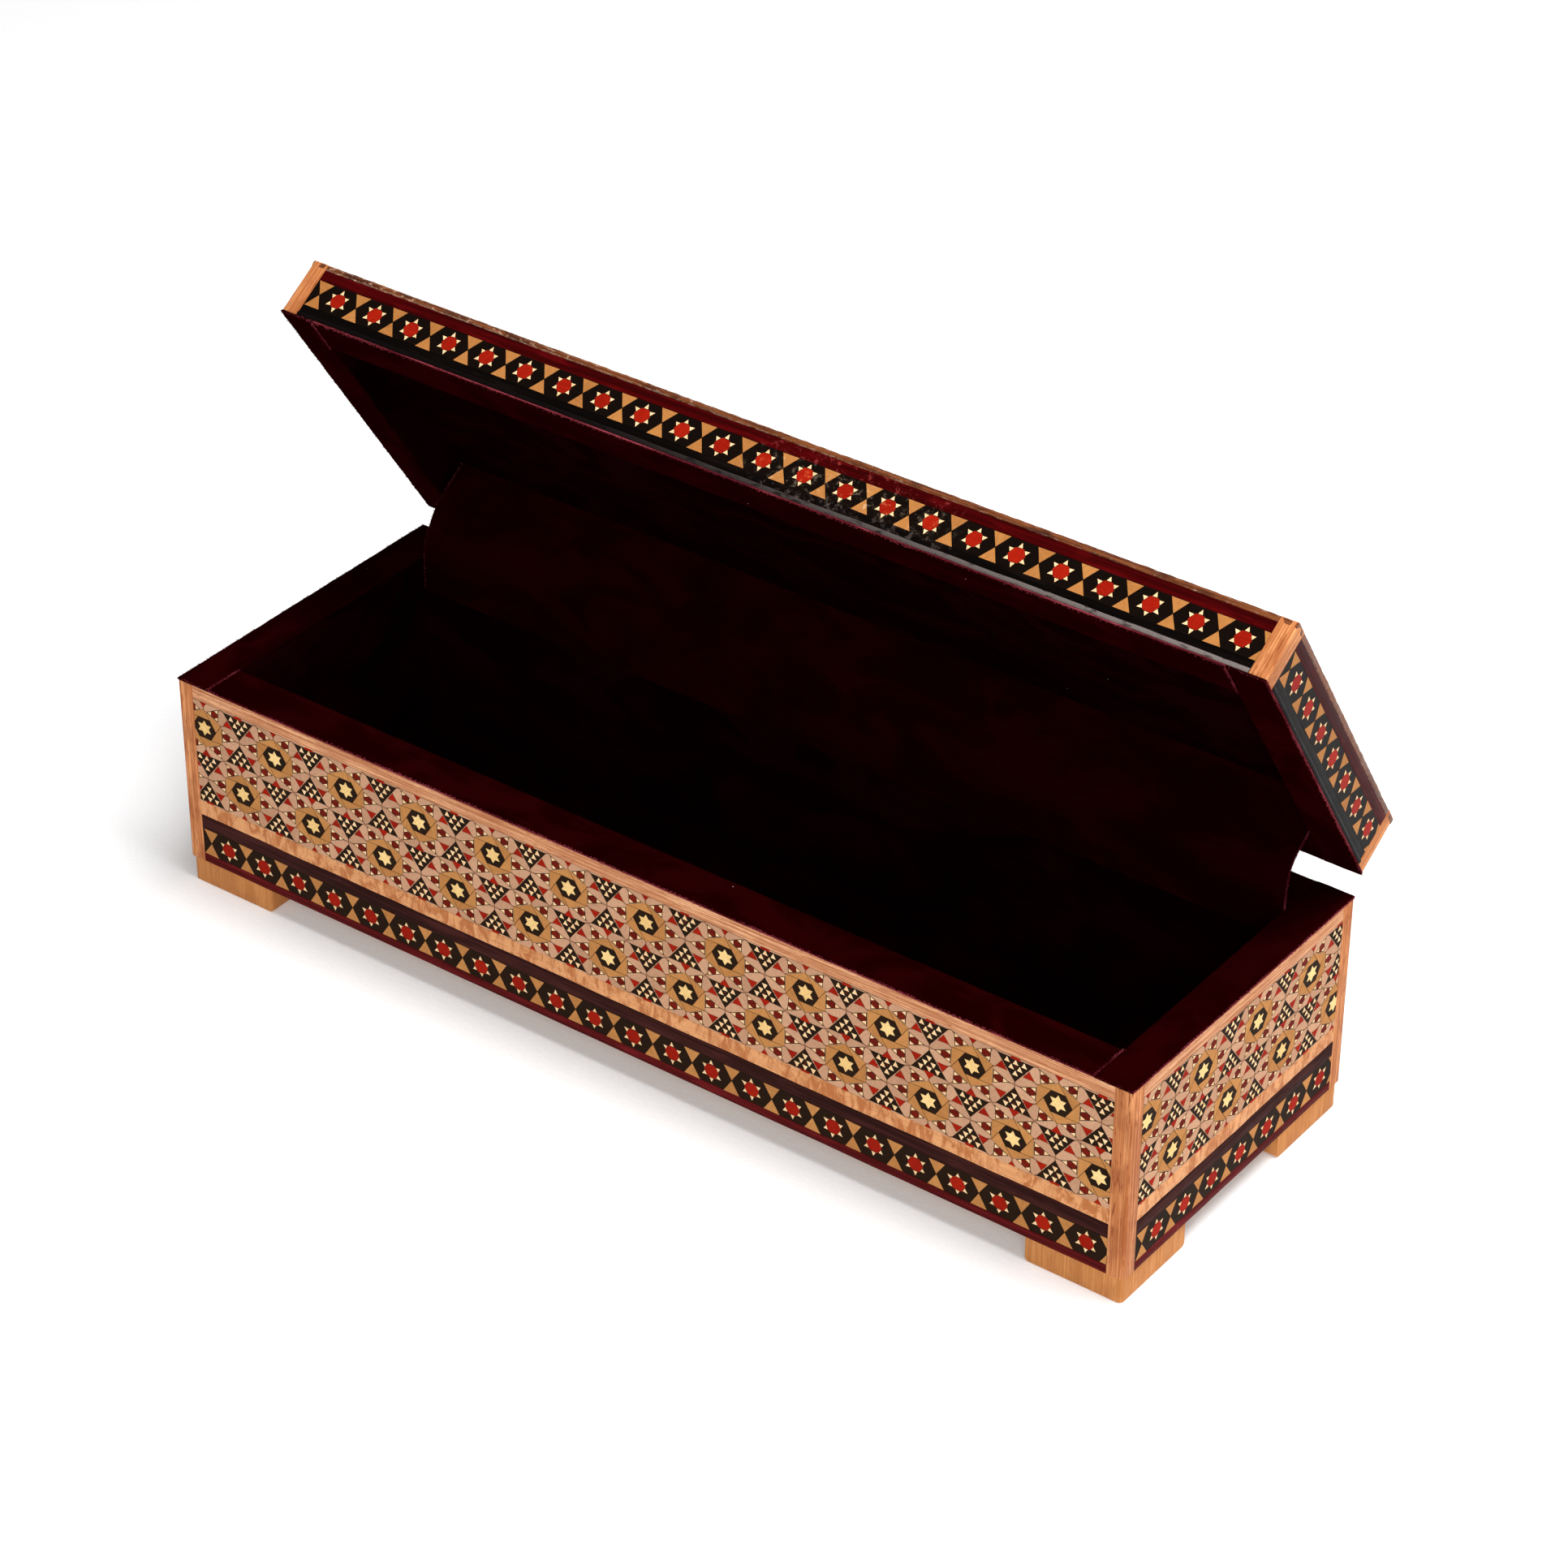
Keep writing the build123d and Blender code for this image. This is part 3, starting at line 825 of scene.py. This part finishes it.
def ring_triangle(centre, rise, angle):
    """One of the six small triangles round a star: crimson, with a pale grain in each corner."""
    ends = ((RING_BASE, angle, -RING_HALF), (RING_APEX, angle), (RING_BASE, angle, RING_HALF))
    corners = [pressed(spoke(*end), rise) + centre for end in ends]
    middle = sum(corners, Vector((0, 0))) / 3
    made = [Tessera("ebony", corners)]
    made.append(Tessera("crimson", [middle.lerp(corner, CRIMSON_SHARE) for corner in corners]))
    for corner in corners:
        heart = middle.lerp(corner, CORNER_GRAIN_PLACE)
        made.append(Tessera("pale", [heart + CORNER_GRAIN_SIZE * (point - middle) for point in corners]))
    return made


def khatam_field(face, first):
    """Rows of stars, every other row shifted by half a pitch, counted down from the top edge."""
    rows = round(face.height / USUAL_ROW)
    row_height = face.height / rows
    rise = row_height / (MOTIF_PITCH * math.sqrt(3) / 2)
    centres = []
    for row in range(-1, rows + 1):
        middle = face.height - (row + 0.5) * row_height
        start = first + (row % 2) * MOTIF_PITCH / 2
        for column in range(-1, math.ceil(face.width / MOTIF_PITCH) + 2):
            centres.append(Vector((start + column * MOTIF_PITCH, middle)))
    layers = (bone_kites, black_triangles, star_pieces)
    return [tessera for layer in layers for centre in centres for tessera in layer(centre, rise)]


def inlaid_piece(node, inlays):
    """One inlaid veneer, in place of its CAD strip."""
    side = next(word for word in SIDES if word in node)
    face = outer_face(shut_box(node), side)
    seed = sum(ord(letter) for letter in node)
    if "khatam" in node:
        tesserae = khatam_field(face, FIRST_STARS[side])
    else:
        tesserae = star_border(face, random.Random(seed))
    mesh = inlaid_mesh(face, tesserae, seed)
    piece = add_piece(f"{node}.inlay", mesh, list(inlays.values()), [node])
    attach(piece, BODY[node])


# ---------------- strips made by sweeping an outline
ARC_STEPS = 3


def quarter(centre, radius, first_angle):
    """Points round a quarter of a circle, clockwise, in a strip's (up, out) plane."""
    turns = [math.radians(first_angle - 90 * step / ARC_STEPS) for step in range(ARC_STEPS + 1)]
    return [(centre[0] + radius * math.cos(turn), centre[1] + radius * math.sin(turn)) for turn in turns]


def eased_section(height, depth, ease, flats=1):
    """A strip's outline with its outer corners rounded, and its face in equal flats."""
    bottom = quarter((ease, -ease), ease, 180)
    top = quarter((height - ease, -ease), ease, 90)
    face = [(ease + (height - 2 * ease) * step / flats, 0) for step in range(1, flats)]
    return [(0, -depth)] + bottom + face + top + [(height, -depth)]


def bridged(mesh, rings):
    """The faces that join each ring of vertices to the next."""
    made = []
    for before, after in zip(rings, rings[1:]):
        for number, vertex in enumerate(before):
            following = (number + 1) % len(before)
            made.append(mesh.faces.new((vertex, before[following], after[following], after[number])))
    return made


def sweep(mesh, face, section, seed, sway=0.0, wave=8.0, step=2.0, kinds=None, mitre=0):
    """Add a closed strip along a face. All but its back sways by hand-work noise."""
    count = round(face.width / step)
    back = min(out for _, out in section)
    rings = []
    for number in range(count + 1):
        around = []
        for up, out in section:
            length = face.width + 2 * mitre * out
            place = Vector((length * number / count - mitre * out, up, out))
            if out > back:
                drift = noise.noise_vector(Vector((place.x / wave, place.y / wave, seed)))
                place += sway * Vector((0, drift.y, drift.z))
            around.append(mesh.verts.new(face.matrix @ place))
        rings.append(around)
    faces = bridged(mesh, rings)
    if kinds:
        for number, made in enumerate(faces):
            made.material_index = kinds[number % len(kinds)]
    faces.append(mesh.faces.new(rings[0]))
    faces.append(mesh.faces.new(rings[-1]))
    lay_grain(mesh, faces, f"strip {seed}", to_local=face.matrix.inverted())


BELT_EASE = 0.14
LIP_EASE = 0.12
LIP_HEIGHT = 1.0
LIP_RISE = 0.28
LIP_SINK = 0.05
LIP_STEPS = 6


def plain_outline(face):
    return eased_section(face.height, face.depth, BELT_EASE, flats=2), None


def lipped_outline(face):
    """A fillet whose lower edge is a bead of lacquer, with a painted grey highlight along the front only."""
    bead = []
    for step in range(LIP_STEPS + 1):
        turn = math.pi * step / LIP_STEPS
        bead.append((LIP_HEIGHT * (1 - math.cos(turn)) / 2, LIP_RISE * math.sin(turn) - LIP_SINK))
    top = quarter((face.height - LIP_EASE, -LIP_EASE), LIP_EASE, 90)
    section = [(0, -face.depth)] + bead + top + [(face.height, -face.depth)]
    # only the front's bead takes the painted highlight
    rubbed = face.matrix.col[2].y < 0
    return section, [1 if rubbed and 0 < number <= LIP_STEPS else 0 for number in range(len(section))]


def belt(node, finishes, suffix, outline, sway):
    """A belt of four strips round the case or the lid, between the posts."""
    mesh = bmesh.new()
    for number, (side, box) in enumerate(sorted(side_boxes(node).items())):
        face = outer_face(box, side)
        section, kinds = outline(face)
        sweep(mesh, face, section, number + len(node), sway, kinds=kinds)
    piece = add_smooth_piece(f"{node}.{suffix}", mesh, finishes, [node])
    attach(piece, BODY[node])


EDGING_EASE = 0.25
EDGING_SEED = 60


def top_edging():
    """The worn wooden edging round the lid's top, with mitred corners and small chips."""
    box = shut_box("lid_top_edging")
    width = shut_box("lid_top_fillet").low.x - box.low.x
    mesh = bmesh.new()
    for number, side in enumerate(("front", "right", "rear", "left")):
        face = outer_face(box, side)
        section = eased_section(face.height, width, EDGING_EASE, flats=3)
        sweep(mesh, face, section, EDGING_SEED + number, sway=0.1, wave=1.6, step=0.6, mitre=1)
    piece = add_smooth_piece("lid_top_edging.wood", mesh, [EDGING_WOOD], ["lid_top_edging"], 40)
    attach(piece, "lid")


# ---------------- velvet
INSET = 1.0
PILE_EDGE = 0.3
LINING_EDGE = 0.2
TUCK = 0.3
FACING = {"case": 1, "lid": -1}


def rim_boxes(node):
    """The boxes of a rim's four velvet strips: two that run right across, and two between."""
    mesh = shut_mesh(node)
    low, high = box_of(mesh.verts)
    hole = box_of([vertex for vertex in mesh.verts if low.x + INSET < vertex.co.x < high.x - INSET])
    boxes = {
        "left": Box(low, Vector((hole.low.x, high.y, high.z))),
        "right": Box(Vector((hole.high.x, low.y, low.z)), high),
        "front": Box(Vector((hole.low.x, low.y, low.z)), Vector((hole.high.x, hole.low.y, high.z))),
        "rear": Box(Vector((hole.low.x, hole.high.y, low.z)), Vector((hole.high.x, high.y, high.z))),
    }
    mesh.free()
    return boxes


def rim_velvet(node):
    """The velvet over a rim: four strips with rolled edges, their cut outer edges showing."""
    mesh = bmesh.new()
    for number, (side, box) in enumerate(sorted(rim_boxes(node).items())):
        face = level_face(box, "x" if side in ("front", "rear") else "y", FACING[BODY[node]])
        section = eased_section(face.height, face.depth, PILE_EDGE, flats=round(face.height))
        kinds = [0] * len(section)
        # the outer cut edge takes the velvet painted lighter, as painted sheen
        kinds[-2 if OUTWARD[side].dot(face.matrix.col[1].to_3d()) > 0 else 0] = 1
        sweep(mesh, face, section, number + len(node), sway=0.07, wave=3.0, step=1.0, kinds=kinds)
    piece = add_smooth_piece(f"{node}.pile", mesh, [VELVET, VELVET_CUT_PAINTED_SHEEN], [node], 50)
    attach(piece, BODY[node])


def lining(name, nodes):
    """The velvet glued inside the case or the lid, a little uneven over the glue. Each piece's
    ends are tucked past its neighbours, so no wood shows in the corners."""
    mesh = bmesh.new()
    faces = []
    for node in nodes:
        side = next((word for word in OPPOSITE if word in node), None)
        if node == "lid_wall_velvet":
            faces += [outer_face(box, OPPOSITE[side]) for side, box in sorted(side_boxes(node).items())]
        elif side:
            faces.append(outer_face(shut_box(node), OPPOSITE[side]))
        else:
            faces.append(level_face(shut_box(node), "x", FACING[BODY[node]]))
    for number, face in enumerate(faces):
        start = face.matrix @ Matrix.Translation((-TUCK, 0, 0))
        tucked = face._replace(matrix=start, width=face.width + 2 * TUCK)
        section = eased_section(face.height, face.depth, LINING_EDGE, flats=round(face.height / 2))
        sweep(mesh, tucked, section, number + len(name), sway=0.25, wave=14.0)
    # painted shade: the lining takes the velvet painted darker than the rim's
    piece = add_smooth_piece(name, mesh, [VELVET_PAINTED_SHADE], nodes, 50)
    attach(piece, BODY[nodes[0]])
    return piece


FLAP_THICK = 0.5
FLAP_RISE = 8.0
FLAP_DROP = 4.0
FLAP_RIPPLE = 0.5
RIPPLE_WIDTH = 18
RIPPLE_STEPS = 12
RIPPLE_SEED = 4
FLAP_STEP = 1.5
GLUED_STEPS = 10
FREE_STEPS = 20


def flap_line():
    """The flap's middle line at rest, from its edge in the case to its edge in the lid."""
    to_open = Matrix.Scale(1 / MM, 4) @ OPEN @ Matrix.Scale(MM, 4)
    low_strip = shut_box("velvet_flap_case_strip")
    high_strip = shut_box("velvet_flap_lid_strip")
    middle = (low_strip.low.y + low_strip.high.y) / 2
    bottom = Vector((0, middle, low_strip.low.z))
    leave = Vector((0, middle, low_strip.high.z))
    arrive = to_open @ Vector((0, middle, high_strip.low.z))
    top = to_open @ Vector((0, middle, high_strip.high.z))
    heading = (top - arrive).normalized()
    bends = [leave, leave + FLAP_RISE * UP, arrive - FLAP_DROP * heading, arrive]
    line = [bottom.lerp(leave, step / GLUED_STEPS) for step in range(GLUED_STEPS)]
    for step in range(FREE_STEPS):
        share = step / FREE_STEPS
        rest = 1 - share
        weights = (rest**3, 3 * rest**2 * share, 3 * rest * share**2, share**3)
        line.append(sum((weight * bend for weight, bend in zip(weights, bends)), Vector((0, 0, 0))))
    line += [arrive.lerp(top, step / GLUED_STEPS) for step in range(GLUED_STEPS + 1)]
    return line, leave, arrive


def flap_freedom(number):
    """0 where the flap is glued, rising to 1 in the middle of its free span."""
    share = (number - GLUED_STEPS) / FREE_STEPS
    return math.sin(math.pi * share) if 0 < share < 1 else 0.0


def velvet_flap():
    """The velvet hinge flap: one cloth, glued inside both rims and free between them."""
    line, leave, arrive = flap_line()
    strip = shut_box("velvet_flap_case_strip")
    width = strip.high.x - strip.low.x
    columns = round(width / FLAP_STEP)
    mesh = bmesh.new()
    rings = []
    for column in range(columns + 1):
        across = strip.low.x + width * column / columns
        fronts, backs = [], []
        for number, point in enumerate(line):
            heading = (line[min(number + 1, len(line) - 1)] - line[max(number - 1, 0)]).normalized()
            normal = Vector((0, -heading.z, heading.y))
            wave = noise.noise(Vector((across / RIPPLE_WIDTH, number / RIPPLE_STEPS, RIPPLE_SEED)))
            ripple = FLAP_RIPPLE * flap_freedom(number) * wave
            place = Vector((across, point.y, point.z)) + ripple * normal
            fronts.append(mesh.verts.new(place + normal * FLAP_THICK / 2))
            backs.append(mesh.verts.new(place - normal * FLAP_THICK / 2))
        rings.append(fronts + backs[::-1])
    bridged(mesh, rings)
    for end in (rings[0], rings[-1]):
        for number in range(len(line) - 1):
            mesh.faces.new((end[number], end[number + 1], end[-2 - number], end[-1 - number]))
    lay_grain(mesh, mesh.faces, "flap", (0, 2, 1))
    ends = [[vertex.co.copy() for vertex in end] for end in (rings[0], rings[-1])]
    glued_strips = ["velvet_flap_case_strip", "velvet_flap_lid_strip"]
    flap = add_smooth_piece("velvet_flap", mesh, [VELVET], glued_strips, 60)
    fuzz = flap_fuzz(ends)
    for piece in (flap, fuzz):
        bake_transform(piece)


# ---------------- loose pile along the cut edges
FIBRES_PER_MM = 10
SEAM_FIBRES_PER_MM = 30
ROOT_DEPTH = 0.1
SEAM_DIP = 0.08
SEAM_WIDTH = 0.4
SEAM_RISE = 0.3
FIBRE_LENGTH = 0.5
FIBRE_SHARES = (0.5, 1.2)
FIBRE_WIDTH = 0.05


def add_fibre(mesh, root, heading, dice):
    """One loose tuft of pile: a long thin closed spike."""
    length = FIBRE_LENGTH * dice.uniform(*FIBRE_SHARES)
    side = heading.orthogonal().normalized() * FIBRE_WIDTH
    turn = Matrix.Rotation(math.radians(120), 3, heading)
    corners = [side, turn @ side, turn @ turn @ side]
    base = [mesh.verts.new(root + corner) for corner in corners]
    tip = mesh.verts.new(root + heading * length)
    mesh.faces.new(base)
    for number in range(3):
        mesh.faces.new((base[number], base[(number + 1) % 3], tip))


def fringe(mesh, start, end, outward, spread, dice, per_mm=FIBRES_PER_MM):
    """Loose tufts along a cut edge, pointing outwards."""
    for _ in range(round((end - start).length * per_mm)):
        root = start.lerp(end, dice.random()) + spread * dice.uniform(-0.5, 0.5)
        lean = Vector([dice.uniform(-0.5, 0.5) for _ in range(3)])
        add_fibre(mesh, root, (outward + lean).normalized(), dice)


def rim_fuzz(node):
    """The tufts along the outer edge of a rim's velvet, and along the seams of its front strip."""
    box = shut_box(node)
    dice = random.Random(node)
    facing = UP * FACING[BODY[node]]
    mesh = bmesh.new()
    for side in OPPOSITE:
        face = outer_face(box, side)
        out = face.matrix.col[2].to_3d()
        middle = Vector((0, face.height / 2, -ROOT_DEPTH))
        start = face.matrix @ middle
        end = face.matrix @ (middle + face.width * RIGHT)
        fringe(mesh, start, end, out, UP * face.height, dice)
    surface = box.high.z if facing.z > 0 else box.low.z
    strip = rim_boxes(node)["front"]
    for seam in (strip.low.x, strip.high.x):
        start = Vector((seam, strip.low.y, surface)) - SEAM_DIP * facing
        end = Vector((seam, strip.high.y, surface)) - SEAM_DIP * facing
        fringe(mesh, start, end, SEAM_RISE * facing, SEAM_WIDTH * RIGHT, dice, SEAM_FIBRES_PER_MM)
    lay_grain(mesh, mesh.faces, node)
    # the tufts take the velvet painted lighter, as painted sheen
    piece = add_piece(f"{node}.fuzz", mesh, [VELVET_CUT_PAINTED_SHEEN], [node])
    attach(piece, BODY[node])


def flap_fuzz(ends):
    """The tufts along the flap's two cut ends; the right one is more frayed."""
    dice = random.Random("flap")
    mesh = bmesh.new()
    frays = ((-RIGHT, FIBRES_PER_MM / 2), (RIGHT, SEAM_FIBRES_PER_MM))
    for points, (out, per_mm) in zip(ends, frays):
        count = len(points) // 2
        for start, end in zip(points[:count], points[1:count]):
            fringe(mesh, start, end, out, FLAP_THICK * BACK, dice, per_mm)
    lay_grain(mesh, mesh.faces, "flap fuzz")
    # the tufts take the velvet painted lighter, as painted sheen
    return add_piece("velvet_flap.fuzz", mesh, [VELVET_CUT_PAINTED_SHEEN], ["velvet_flap_case_strip"])


# ---------------- building every piece
def nodes_with(word):
    """The CAD nodes whose names hold this word."""
    return sorted(node for node in frame["nodes"] if word in node)


for node in nodes_with("_wall") + nodes_with("_board"):
    if "velvet" not in node:
        eased_part(node, BOARD_WOOD, "wood", 0.1)
for node in nodes_with("_post_"):
    eased_part(node, POST_WOOD, "wood", 0.15)
for node in nodes_with("foot_"):
    eased_part(node, FOOT_WOOD, "wood", 0.25, (2, 0, 1))
for node in nodes_with("hinge"):
    eased_part(node, BRASS, "metal", 0.06)
eased_part("lid_top_fillet", LID_DARK, "lacquer", 0.15)

for node in nodes_with("star_border"):
    inlaid_piece(node, LID_INLAYS if BODY[node] == "lid" else INLAYS)
for node in nodes_with("khatam_panel"):
    inlaid_piece(node, INLAYS)

belt("case_burgundy_fillets", [BURGUNDY], "lacquer", plain_outline, 0.05)
belt("case_dark_fillets", [DARK], "lacquer", plain_outline, 0.06)
belt("case_waist_bands", [WAIST_WOOD], "wood", plain_outline, 0.1)
belt("case_rim_bands", [TRIM_WOOD], "wood", plain_outline, 0.1)
belt("lid_burgundy_fillets", [LID_RED], "lacquer", plain_outline, 0.06)
belt("lid_dark_fillets", [LID_DARK, LID_LIP], "lacquer", lipped_outline, 0.1)
top_edging()

for make in (rim_velvet, rim_fuzz):
    make("case_rim_velvet")
    make("lid_rim_velvet")
case_lining = lining("case_lining", [f"case_{place}_velvet" for place in (*OPPOSITE, "floor")])
lid_lining = lining("lid_lining", ["lid_top_velvet", "lid_wall_velvet"])
velvet_flap()

# ---------------- studio
FLOOR_HALF = 1.5
PAPER_GLOW = 0.12
ROOM_LIGHT = 0.22
scene = bpy.context.scene
span = Vector(cad_box[1]) - Vector(cad_box[0])


def floor_finish():
    """A pale paper floor with a barely visible tooth."""
    paper = Finish("paper_floor", Emission_Color=(1, 1, 1, 1), Emission_Strength=PAPER_GLOW)
    place = paper.node("TexCoord", {}, output="Object")
    tooth = paper.noise(place, 900.0)
    tone = paper.lay((244, 244, 245), (250, 250, 250), tooth, 0.3, 0.7)
    return paper.finish(tone, paper.spread(tooth, 0.3, 0.7, 0.75, 0.9), tooth, depth=0.05)


floor_data = bpy.data.meshes.new("floor")
floor_corners = [(FLOOR_HALF * x, FLOOR_HALF * y, 0) for x, y in ((-1, -1), (1, -1), (1, 1), (-1, 1))]
floor_data.from_pydata(floor_corners, [], [(0, 1, 2, 3)])
floor = bpy.data.objects.new("floor", floor_data)
floor_data.materials.append(floor_finish())
scene.collection.objects.link(floor)

# a long lens, high to the right of the front, tipped a little to the left
LENS = 108.33
AZIMUTH = math.radians(36.56)
ELEVATION = math.radians(33.529)
ROLL = math.radians(0.217)
DISTANCE = 4.003
AIM = (0.0266, -0.0246, 0.397)

toward_camera = Vector((
    math.sin(AZIMUTH) * math.cos(ELEVATION),
    -math.cos(AZIMUTH) * math.cos(ELEVATION),
    math.sin(ELEVATION),
))
aim = Vector((span.x * AIM[0], cad_box[0][1] + span.y * (0.5 + AIM[1]), span.z * AIM[2]))
camera_data = bpy.data.cameras.new("camera")
camera_data.lens = LENS
camera_data.clip_start = 0.01
camera = bpy.data.objects.new("camera", camera_data)
turned = (-toward_camera).to_track_quat("-Z", "Y").to_matrix().to_4x4() @ Matrix.Rotation(ROLL, 4, "Z")
camera.matrix_world = Matrix.Translation(aim + toward_camera * span.x * DISTANCE) @ turned
scene.collection.objects.link(camera)
scene.camera = camera


def area_light(name, place, size, power):
    """A soft square light, facing the middle of the object."""
    data = bpy.data.lights.new(name, "AREA")
    data.size = size
    data.energy = power
    light = bpy.data.objects.new(name, data)
    heading = aim - Vector(place)
    light.matrix_world = Matrix.Translation(place) @ heading.to_track_quat("-Z", "Y").to_matrix().to_4x4()
    scene.collection.objects.link(light)


area_light("top_light", (0.35, 0.1, 1.2), size=0.7, power=17)
area_light("front_light", (0.68, -1.05, 0.75), size=0.8, power=8.8)
area_light("right_light", (1.1, 0.15, 0.7), size=0.6, power=1.6)

world = bpy.data.worlds.new("soft_room")
world.use_nodes = True
room = world.node_tree.nodes["Background"]
room.inputs["Color"].default_value = (1, 1, 1, 1)
room.inputs["Strength"].default_value = ROOM_LIGHT
scene.world = world
scene.view_settings.view_transform = "Standard"
